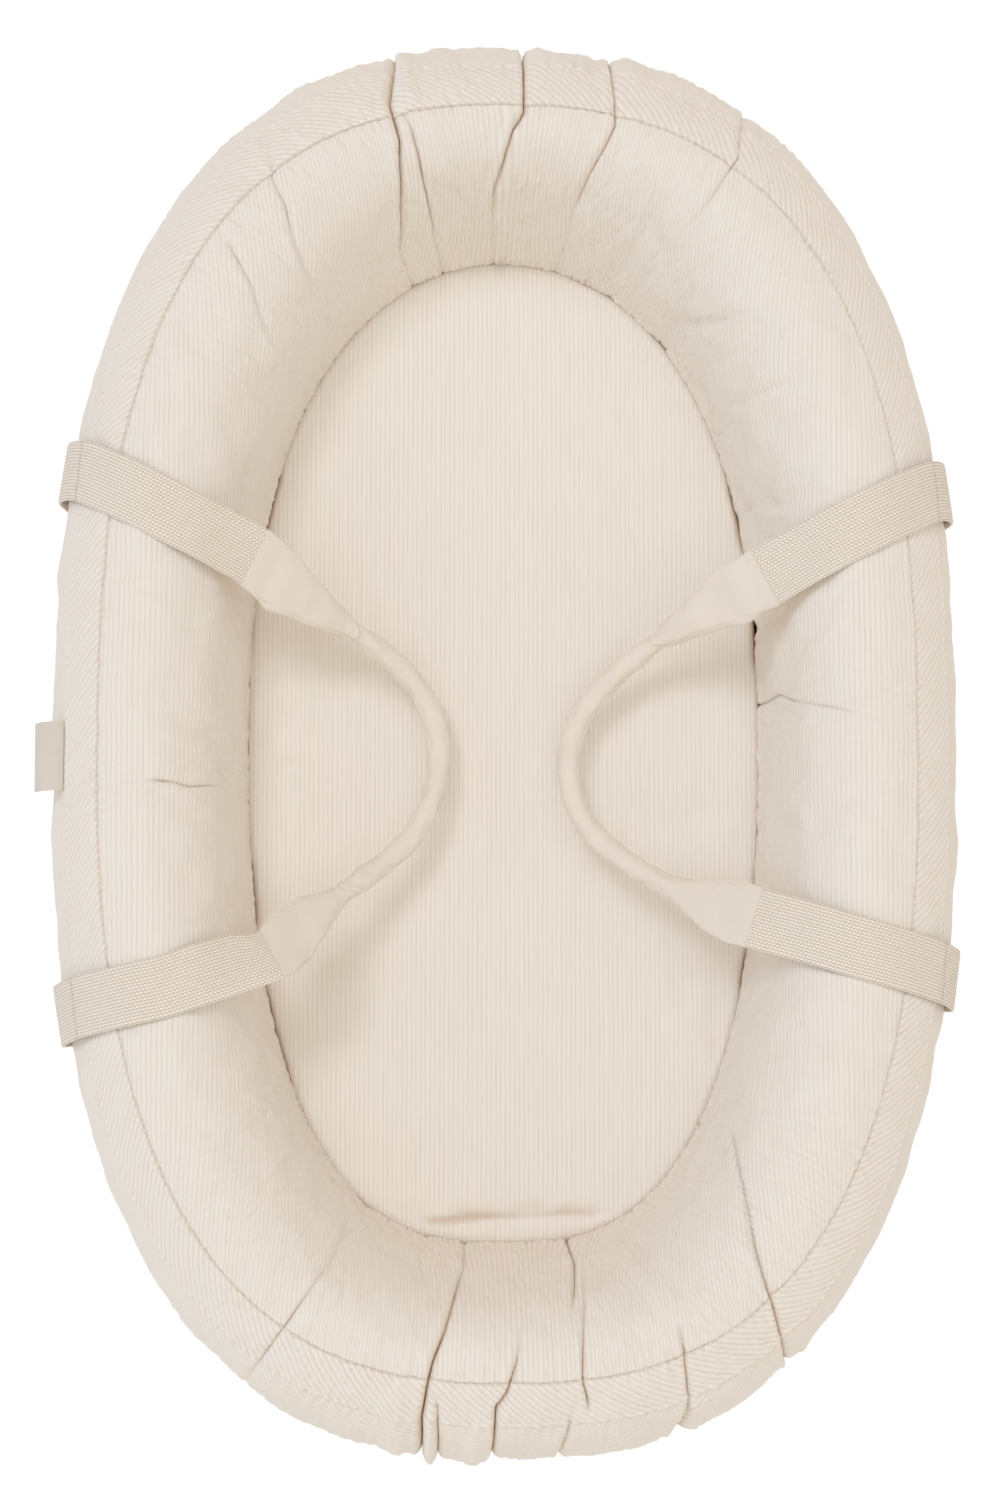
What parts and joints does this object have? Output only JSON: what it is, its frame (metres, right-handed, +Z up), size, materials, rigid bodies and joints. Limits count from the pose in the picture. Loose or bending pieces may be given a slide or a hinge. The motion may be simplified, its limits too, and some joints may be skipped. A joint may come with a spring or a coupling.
{
  "type": "infant lounger",
  "caption": "Oval padded infant lounger: a soft gathered roll round a flat mattress, a diagonal band on its shoulder and fold-in carry handles at the sides.",
  "frame": {"origin": "middle of the nest, on the surface it lies on", "axes": "+X across the nest, +Y along it towards the head end, +Z up"},
  "size_m": [0.5815, 0.8956, 0.1531],
  "materials": {
    "striped_cotton": "matte, fine stripes",
    "bias_cotton": "matte, diagonal stripes",
    "plain_cotton": "matte",
    "webbing": "matte woven",
    "wadding": "soft filling",
    "elastic": "matte",
    "zip_tape": "matte",
    "zip_coil": "matte",
    "zip_metal": "brushed"
  },
  "bodies": {
    "nest": {"inner_wall_panel": "striped_cotton", "bias_band": "bias_cotton", "outer_wall_panel": "striped_cotton", "floor_panel": "striped_cotton", "bolster_roll": "wadding", "mattress_core": "wadding", "mattress_casing": "plain_cotton", "base_panel": "plain_cotton", "head_gather_elastic": "elastic", "foot_gather_elastic": "elastic", "zip_tape_left": "zip_tape", "zip_tape_right": "zip_tape", "zip_coil_left": "zip_coil", "zip_coil_right": "zip_coil", "side_tab": "plain_cotton", "left_head_leg_sewn_end": "webbing", "left_foot_leg_sewn_end": "webbing", "right_head_leg_sewn_end": "webbing", "right_foot_leg_sewn_end": "webbing"},
    "left_straps": {"left_head_leg_lower": "webbing", "left_foot_leg_lower": "webbing"},
    "left_handle": {"left_head_leg_upper": "webbing", "left_foot_leg_upper": "webbing", "left_grip_sleeve": "plain_cotton", "left_grip_core": "wadding"},
    "right_straps": {"right_head_leg_lower": "webbing", "right_foot_leg_lower": "webbing"},
    "right_handle": {"right_head_leg_upper": "webbing", "right_foot_leg_upper": "webbing", "right_grip_sleeve": "plain_cotton", "right_grip_core": "wadding"},
    "zip_slider": {"zip_slider": "zip_metal"}
  },
  "joints": [
    {"name": "left_strap_fold", "type": "hinge", "parent": "nest", "child": "left_straps", "pos_m": [-0.2806, 0, 0.0563], "axis": [0, -1, 0], "range_deg": [0, 115]},
    {"name": "left_handle_fold", "type": "hinge", "parent": "left_straps", "child": "left_handle", "pos_m": [-0.212, 0, 0.153], "axis": [0, -1, 0], "range_deg": [0, 95]},
    {"name": "right_strap_fold", "type": "hinge", "parent": "nest", "child": "right_straps", "pos_m": [0.283, 0, 0.0563], "axis": [0, 1, 0], "range_deg": [0, 115]},
    {"name": "right_handle_fold", "type": "hinge", "parent": "right_straps", "child": "right_handle", "pos_m": [0.212, 0, 0.153], "axis": [0, 1, 0], "range_deg": [0, 95]},
    {"name": "zip_slide", "type": "slide", "parent": "nest", "child": "zip_slider", "axis": [0, 1, 0], "range_m": [0, 0.368]}
  ]
}
